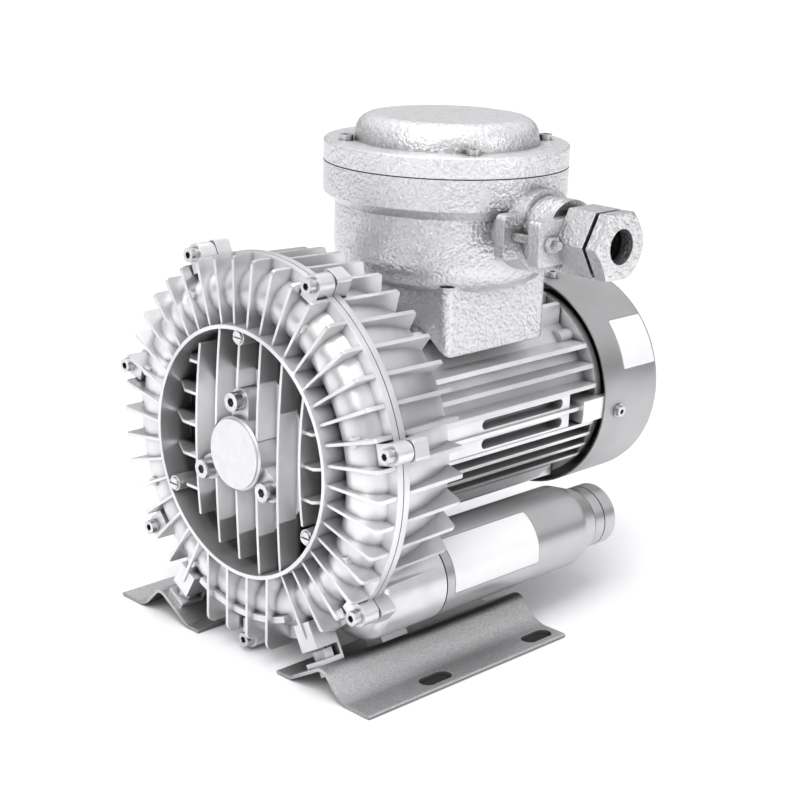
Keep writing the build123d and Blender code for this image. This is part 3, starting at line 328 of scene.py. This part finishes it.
# Galvanised sheet of the feet: grey flecks and faint spangle
galvanisedLook = {
    "galvanisedSheet": {
        "metal": 0.8, "light": 0.72, "dark": 0.54, "tones": (0.36, 0.60),
        "rough": 0.38, "gloss": (0.10, 0.14),
        "fleck": 0.0007, "fleckDetail": 4.0, "fleckRough": 0.7, "depth": 0.00006,
        "spangle": 0.004, "spangleTone": 0.93, "recess": 0.05, "reach": 0.035, "edge": 0.0005,
    },
}


def galvanisedFinish(name):
    look = galvanisedLook[name]
    finish, tree, shader, place = startFinish(name, look["metal"], look["rough"])
    fleck = speckle(tree, place, look["fleck"], look["fleckDetail"], look["fleckRough"])
    spangle = addNode(tree, "ShaderNodeTexVoronoi", Scale=1 / look["spangle"])
    tree.links.new(place, spangle.inputs["Vector"])
    tint = ramp(tree, spangle.outputs["Color"], [(0.0, look["spangleTone"]), (1.0, 1.0)])
    shadeRecesses(tree, shader, multiply(tree, greyTones(tree, fleck, look), tint), look)
    varyGloss(tree, shader, fleck, look)
    addBump(tree, shader, [(fleck, look["depth"])], look["edge"])
    return finish


# Zinc plated, ground and turned steel, and brass. A line is the width of one turning mark or thread.
steelShared = {
    "cloud": 0.003, "depth": 0.00003, "tones": (0.3, 0.7), "gloss": (0.06, 0.14),
    "reach": 0.005, "edge": 0.0003,
    "line": 0.0, "lineDepth": 0.000012, "lineWay": "X", "lineWaver": 0.4, "lineDetail": 1.0,
    "waveStep": 0.314,
}
steelLook = {
    "zincScrew": {"light": 0.80, "dark": 0.56, "rough": 0.24, "recess": 0.25},
    "groundRing": {"light": 0.66, "dark": 0.52, "rough": 0.20, "line": 0.0008, "recess": 0.5},
    "turnedShaft": {"light": 0.68, "dark": 0.52, "rough": 0.24, "line": 0.0006, "recess": 0.5},
    "turnedBrass": {
        "light": 0.80, "dark": 0.60, "rough": 0.26, "line": 0.0006, "recess": 0.5,
        "lightTint": (1.0, 0.80, 0.44), "darkTint": (1.0, 0.76, 0.38),
    },
    "threadedStud": {
        "light": 0.78, "dark": 0.60, "rough": 0.24, "recess": 0.25,
        "line": 0.00125, "lineDepth": 0.0006, "lineWay": "Y", "lineWaver": 0.0,
    },
}


def tintedTones(tree, factor, look):
    low, high = look["tones"]
    dark = tuple(look["dark"] * share for share in look["darkTint"])
    light = tuple(look["light"] * share for share in look["lightTint"])
    return ramp(tree, factor, [(low, dark), (high, light)])


def steelFinish(name):
    look = {**steelShared, **steelLook[name]}
    finish, tree, shader, place = startFinish(name, 1.0, look["rough"])
    cloud = speckle(tree, place, look["cloud"])
    tones = tintedTones if "lightTint" in look else greyTones
    shadeRecesses(tree, shader, tones(tree, cloud, look), look)
    varyGloss(tree, shader, cloud, look)
    heights = [(cloud, look["depth"])]
    if look["line"]:
        heights.append((wave(tree, place, look), look["lineDepth"]))
    addBump(tree, shader, heights, look["edge"])
    return finish


# Rubber, gasket, foam, moulded plastic and the white blanks
softShared = {"tones": (0.3, 0.7), "gloss": (0.05, 0.08), "edge": 0.0003, "coat": 0.0}
softLook = {
    "blackRubber": {"light": 0.055, "dark": 0.025, "rough": 0.62, "grain": 0.0008, "depth": 0.00004},
    "seamGasket": {"light": 0.075, "dark": 0.04, "rough": 0.70, "grain": 0.0007, "depth": 0.00004},
    "openFoam": {"light": 0.13, "dark": 0.02, "rough": 0.90, "grain": 0.0022, "depth": 0.0009},
    "boardPlastic": {"light": 0.10, "dark": 0.06, "rough": 0.45, "grain": 0.0010, "depth": 0.00003},
    "fanPlastic": {"light": 0.11, "dark": 0.07, "rough": 0.42, "grain": 0.0012, "depth": 0.00004},
    "blankPlate": {
        "light": 0.76, "dark": 0.70, "rough": 0.22, "grain": 0.0035, "depth": 0.00002,
        "coat": 0.35, "coatRough": 0.12,
    },
    "blankLabel": {
        "light": 0.86, "dark": 0.83, "rough": 0.30, "grain": 0.0060, "depth": 0.00003,
        "coat": 0.35, "coatRough": 0.12,
    },
    "labelLine": {"light": 0.30, "dark": 0.22, "rough": 0.35, "grain": 0.0030, "depth": 0.00001},
    "jointShadow": {"light": 0.05, "dark": 0.02, "rough": 0.80, "grain": 0.0010, "depth": 0.00003},
}


def softFinish(name):
    look = {**softShared, **softLook[name]}
    finish, tree, shader, place = startFinish(name, 0.0, look["rough"])
    grain = speckle(tree, place, look["grain"])
    tree.links.new(greyTones(tree, grain, look), shader.inputs["Base Color"])
    varyGloss(tree, shader, grain, look)
    if look["coat"]:
        shader.inputs["Coat Weight"].default_value = look["coat"]
        shader.inputs["Coat Roughness"].default_value = look["coatRough"]
    addBump(tree, shader, [(grain, look["depth"])], look["edge"])
    return finish


# Oiled lamination stack and varnished copper windings inside the motor
stackShared = {
    "lineWaver": 0.8, "lineDetail": 2.0, "waveStep": 0.3, "tones": (0.2, 0.8), "depth": 0.00015,
    "fleck": 0.002, "fleckDetail": 2.0, "gloss": (0.06, 0.12),
}
stackLook = {
    "laminationStack": {
        "light": (0.42, 0.41, 0.40), "dark": (0.20, 0.19, 0.19), "metal": 0.9, "rough": 0.38,
        "line": 0.0010, "lineWay": "X",
    },
    "copperWinding": {
        "light": (0.62, 0.26, 0.10), "dark": (0.28, 0.09, 0.03), "metal": 0.75, "rough": 0.26,
        "line": 0.0012, "lineWay": "DIAGONAL",
    },
}


def stackFinish(name):
    look = {**stackShared, **stackLook[name]}
    finish, tree, shader, place = startFinish(name, look["metal"], look["rough"])
    stripe = wave(tree, place, look)
    low, high = look["tones"]
    colour = ramp(tree, stripe, [(low, look["dark"]), (high, look["light"])])
    tree.links.new(colour, shader.inputs["Base Color"])
    fleck = speckle(tree, place, look["fleck"], look["fleckDetail"])
    varyGloss(tree, shader, fleck, look)
    addBump(tree, shader, [(stripe, look["depth"])])
    return finish


finishMakers = (
    (castLook, castFinish), (hammeredLook, hammeredFinish), (satinLook, satinFinish),
    (galvanisedLook, galvanisedFinish), (steelLook, steelFinish), (softLook, softFinish),
    (stackLook, stackFinish),
)
finishes = {}
for looks, makeFinish in finishMakers:
    for finishName in looks:
        finishes[finishName] = makeFinish(finishName)
print("finishes made:", len(finishes))

# Which finish each kind of CAD node gets, by the record's material slot
finishOfSlot = {
    "cast_front": "castFrontCover", "cast_rear": "castRearCasing", "cast_cap": "castBearingCap",
    "cast_motor": "castMotor", "cast_impeller": "castImpeller", "gasket": "seamGasket",
    "bright_steel": "zincScrew", "blank_plate": "blankPlate", "bearing_steel": "groundRing",
    "black_rubber": "blackRubber", "lamination": "laminationStack", "winding": "copperWinding",
    "painted_cowl": "satinCowl", "hammered_paint": "hammeredPaint", "board_plastic": "boardPlastic",
    "terminal_brass": "turnedBrass", "silencer_paint": "satinSilencer", "foam_lining": "openFoam",
    "galvanised_sheet": "galvanisedSheet", "shaft_steel": "turnedShaft", "fan_plastic": "fanPlastic",
}
# Nodes that look other than the rest of their slot
finishOfNode = {"gland_studs": "threadedStud", "terminal_lid": "litHammeredLid"}


def dressNodes():
    for part in frame["record"]["subparts"]:
        node = blowerNodes[part["node"]]
        finish = finishes[finishOfNode.get(part["node"], finishOfSlot[part["material_slot"]])]
        if not node.material_slots:
            node.data.materials.append(finish)
        for slot in node.material_slots:
            slot.link = "OBJECT"
            slot.material = finish


dressNodes()
print("nodes dressed")

# Turned corners are drawn as a few cones, so edges flatter than this angle are shaded as one curve
softEdge = {"angle": 33, "weld": 0.00001, "weight": 90}


def softTurnGroup(look):
    group = bpy.data.node_groups.new("softTurns", "GeometryNodeTree")
    group.interface.new_socket("Geometry", in_out="INPUT", socket_type="NodeSocketGeometry")
    group.interface.new_socket("Geometry", in_out="OUTPUT", socket_type="NodeSocketGeometry")
    start, end = group.nodes.new("NodeGroupInput"), group.nodes.new("NodeGroupOutput")
    weld = addNode(group, "GeometryNodeMergeByDistance", Distance=look["weld"])
    clear = addNode(group, "GeometryNodeRemoveAttribute", Name="custom_normal")
    turn = group.nodes.new("GeometryNodeInputMeshEdgeAngle")
    flat = group.nodes.new("FunctionNodeCompare")
    flat.operation = "LESS_EQUAL"
    flat.inputs[1].default_value = math.radians(look["angle"])
    faces = group.nodes.new("GeometryNodeSetShadeSmooth")
    edges = group.nodes.new("GeometryNodeSetShadeSmooth")
    edges.domain = "EDGE"
    link = group.links.new
    link(start.outputs[0], weld.inputs["Geometry"])
    link(weld.outputs["Geometry"], clear.inputs["Geometry"])
    link(clear.outputs["Geometry"], faces.inputs["Geometry"])
    link(faces.outputs["Geometry"], edges.inputs["Geometry"])
    link(turn.outputs["Unsigned Angle"], flat.inputs[0])
    link(flat.outputs["Result"], edges.inputs["Shade Smooth"])
    link(edges.outputs["Geometry"], end.inputs[0])
    return group


def softenTurns(nodes, look):
    group = softTurnGroup(look)
    for node in nodes:
        soft = node.modifiers.new("softTurns", "NODES")
        soft.node_group = group
        even = node.modifiers.new("evenNormals", "WEIGHTED_NORMAL")
        even.keep_sharp = True
        even.weight = look["weight"]


softenTurns(blowerNodes.values(), softEdge)
print("turned corners smoothed")


def meshFrom(name, shape):
    mesh = bpy.data.meshes.new(name)
    shape.to_mesh(mesh)
    shape.free()
    return mesh


def addPiece(name, mesh, body, finish):
    piece = bpy.data.objects.new(name, mesh)
    bpy.context.scene.collection.objects.link(piece)
    piece.data.materials.append(finishes[finish])
    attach(piece, body)
    return piece


# Blank labels: thin curved sheets with rounded corners, laid on a round wall whose axis runs along x.
# Angles go up the wall from level, and a printed line runs round each label at the margin.
labelShared = {"thick": 0.0002, "line": 0.0005, "cornerSteps": 6, "cuts": 24}
labelSizes = {
    "silencerLabel": {
        "axis": (-0.0799, 0.0583), "radius": 0.03105, "x": (-0.0235, 0.0635), "angles": (-12, 64),
        "corner": 0.002, "margin": 0.0016,
    },
    "cowlLabel": {
        "axis": (0, 0.1455), "radius": 0.08205, "x": (0.1885, 0.2265), "angles": (14.5, 42.5),
        "corner": 0.0015, "margin": 0.0014,
    },
}


def labelOutline(size, height):
    lowX, highX = size["x"]
    corner, steps = size["corner"], size["cornerSteps"]
    right, left, top, bottom = highX - corner, lowX + corner, height - corner, corner
    middles = ((right, top, 0), (left, top, 90), (left, bottom, 180), (right, bottom, 270))
    outline = []
    for middleX, middleY, first in middles:
        for step in range(steps + 1):
            angle = math.radians(first + 90 / steps * step)
            outline.append((middleX + corner * math.cos(angle), middleY + corner * math.sin(angle)))
    return outline


def curvedLabel(name, size):
    start, end = (math.radians(angle) for angle in size["angles"])
    radius = size["radius"]
    height = (end - start) * radius
    shape = bmesh.new()
    flat = shape.faces.new([shape.verts.new((x, y, 0)) for x, y in labelOutline(size, height)])
    for width, isLine in ((size["margin"], False), (size["line"], True)):
        inset = bmesh.ops.inset_region(
            shape, faces=[flat], thickness=width, use_boundary=True, use_even_offset=True)
        for face in inset["faces"]:
            face.material_index = int(isLine)
    for index in range(1, size["cuts"]):
        everything = shape.verts[:] + shape.edges[:] + shape.faces[:]
        level = (0, height * index / size["cuts"], 0)
        bmesh.ops.bisect_plane(shape, geom=everything, plane_co=level, plane_no=(0, 1, 0))
    middleY, middleZ = size["axis"]
    for vert in shape.verts:
        angle = start + vert.co.y / radius
        vert.co = Vector((vert.co.x, middleY - radius * math.cos(angle), middleZ + radius * math.sin(angle)))
    bmesh.ops.recalc_face_normals(shape, faces=shape.faces[:])
    mesh = meshFrom(name, shape)
    for face in mesh.polygons:
        face.use_smooth = True
    piece = addPiece(name, mesh, "blower", "blankLabel")
    piece.data.materials.append(finishes["labelLine"])
    sheet = piece.modifiers.new("thickness", "SOLIDIFY")
    sheet.thickness = size["thick"]
    sheet.offset = 0


for labelName, labelSize in labelSizes.items():
    curvedLabel(labelName, {**labelShared, **labelSize})
print("labels laid on")

# Dark line where the lid meets the box
lidJoint = {
    "axis": (0.0683, 0.0), "radius": 0.0876, "proud": 0.00006, "deep": 0.001,
    "height": 0.0007, "level": 0.3254, "steps": 180,
}


def lidJointLine(size):
    shape = bmesh.new()
    middleX, middleY = size["axis"]
    low, high = size["level"] - size["height"] / 2, size["level"] + size["height"] / 2
    inner, outer = size["radius"] - size["deep"], size["radius"] + size["proud"]
    steps = size["steps"]
    rings = []
    for radius, level in ((inner, low), (outer, low), (outer, high), (inner, high)):
        ring = []
        for step in range(steps):
            angle = 2 * math.pi * step / steps
            x, y = middleX + radius * math.cos(angle), middleY + radius * math.sin(angle)
            ring.append(shape.verts.new((x, y, level)))
        rings.append(ring)
    for first, second in zip(rings, rings[1:] + rings[:1]):
        for step in range(steps):
            after = (step + 1) % steps
            shape.faces.new((first[step], first[after], second[after], second[step]))
    bmesh.ops.recalc_face_normals(shape, faces=shape.faces[:])
    addPiece("lidJointLine", meshFrom("lidJointLine", shape), "blower", "jointShadow")


lidJointLine(lidJoint)
print("lid joint drawn")


def addStage(name, mesh, finish, level=0.0):
    stage = bpy.data.objects.new(name, mesh)
    stage.location.z = level
    bpy.context.scene.collection.objects.link(stage)
    stage.data.materials.append(finish)


# Pale floor, just under the feet so that they don't share its faces
floorLook = {
    "size": 40, "segments": 8, "level": -0.0004, "glow": 0.04,
    "light": 0.95, "dark": 0.93, "tones": (0.2, 0.8), "rough": 0.75, "cloud": 0.4, "cloudDetail": 1.0,
}


def layFloor(look):
    finish, tree, shader, place = startFinish("paleFloor", 0.0, look["rough"])
    cloud = speckle(tree, place, look["cloud"], look["cloudDetail"])
    tree.links.new(greyTones(tree, cloud, look), shader.inputs["Base Color"])
    shader.inputs["Emission Color"].default_value = (1, 1, 1, 1)
    shader.inputs["Emission Strength"].default_value = look["glow"]
    shape = bmesh.new()
    segments = look["segments"]
    bmesh.ops.create_grid(shape, x_segments=segments, y_segments=segments, size=look["size"] / 2)
    addStage("floor", meshFrom("floor", shape), finish, look["level"])


# Painted shadow: dark sheets on the ground under the foot flanges, seen only through their slots
footShadowSheets = {"reach": 0.0665, "inner": 0.106, "outer": 0.131, "level": -0.0002}


def layFootShadowSheets(look):
    for name, side in (("footShadowRight", -1), ("footShadowLeft", 1)):
        shape = bmesh.new()
        reach, inner, outer = look["reach"], side * look["inner"], side * look["outer"]
        corners = ((-reach, inner), (reach, inner), (reach, outer), (-reach, outer))
        shape.faces.new([shape.verts.new((x, y, look["level"])) for x, y in corners])
        addStage(name, meshFrom(name, shape), finishes["jointShadow"])


# Soft studio light. The sky's tones go with height, from 0 straight down to 1 straight up.
studio = {
    "sky": ((0.57, 0.14), (0.66, 0.85), (1.0, 0.85)),
    "lamps": {
        "keyLeft": {"place": (-1.7, -0.4, 1.3), "size": 1.0, "power": 9},
        "fillRight": {"place": (0.4, -2.0, 0.8), "size": 0.9, "power": 6},
        "topBack": {"place": (0.4, 0.5, 2.1), "size": 1.2, "power": 6},
    },
    "target": (0.07, 0, 0.14),
    "sun": {"from": (-0.35, -0.25, 1.0), "spread": 30, "power": 1.0},
    "gamma": 0.85,
}


def paintSky(look):
    sky = bpy.data.worlds.new("studio")
    bpy.context.scene.world = sky
    sky.use_nodes = True
    tree = sky.node_tree
    background = tree.nodes["Background"]
    place = tree.nodes.new("ShaderNodeTexCoord")
    split = tree.nodes.new("ShaderNodeSeparateXYZ")
    tree.links.new(place.outputs["Generated"], split.inputs["Vector"])
    height = mapRange(tree, split.outputs["Z"], 0.0, 1.0, start=-1.0)
    tone = ramp(tree, height, [(at, coolGrey(level)) for at, level in look["sky"]])
    tree.links.new(tone, background.inputs["Color"])
    # the wall behind is plain white where it is seen past the floor
    wall = addNode(tree, "ShaderNodeBackground", Color=(1, 1, 1, 1))
    seen = tree.nodes.new("ShaderNodeLightPath")
    pick = tree.nodes.new("ShaderNodeMixShader")
    tree.links.new(seen.outputs["Is Camera Ray"], pick.inputs["Fac"])
    tree.links.new(background.outputs["Background"], pick.inputs[1])
    tree.links.new(wall.outputs["Background"], pick.inputs[2])
    tree.links.new(pick.outputs["Shader"], tree.nodes["World Output"].inputs["Surface"])


def hangLamp(name, kind, power, facing):
    light = bpy.data.lights.new(name, kind)
    light.energy = power
    holder = bpy.data.objects.new(name, light)
    holder.rotation_euler = facing.to_track_quat("Z", "Y").to_euler()
    bpy.context.scene.collection.objects.link(holder)
    return light, holder


def lightStudio(look):
    for name, lamp in look["lamps"].items():
        facing = Vector(lamp["place"]) - Vector(look["target"])
        light, holder = hangLamp(name, "AREA", lamp["power"], facing)
        light.shape = "SQUARE"
        light.size = lamp["size"]
        holder.location = lamp["place"]
    sun = look["sun"]
    light, holder = hangLamp("softSun", "SUN", sun["power"], Vector(sun["from"]))
    light.angle = math.radians(sun["spread"])
    bpy.context.scene.view_settings.view_transform = "Standard"
    bpy.context.scene.view_settings.gamma = look["gamma"]


layFloor(floorLook)
layFootShadowSheets(footShadowSheets)
paintSky(studio)
lightStudio(studio)
print("studio lit")
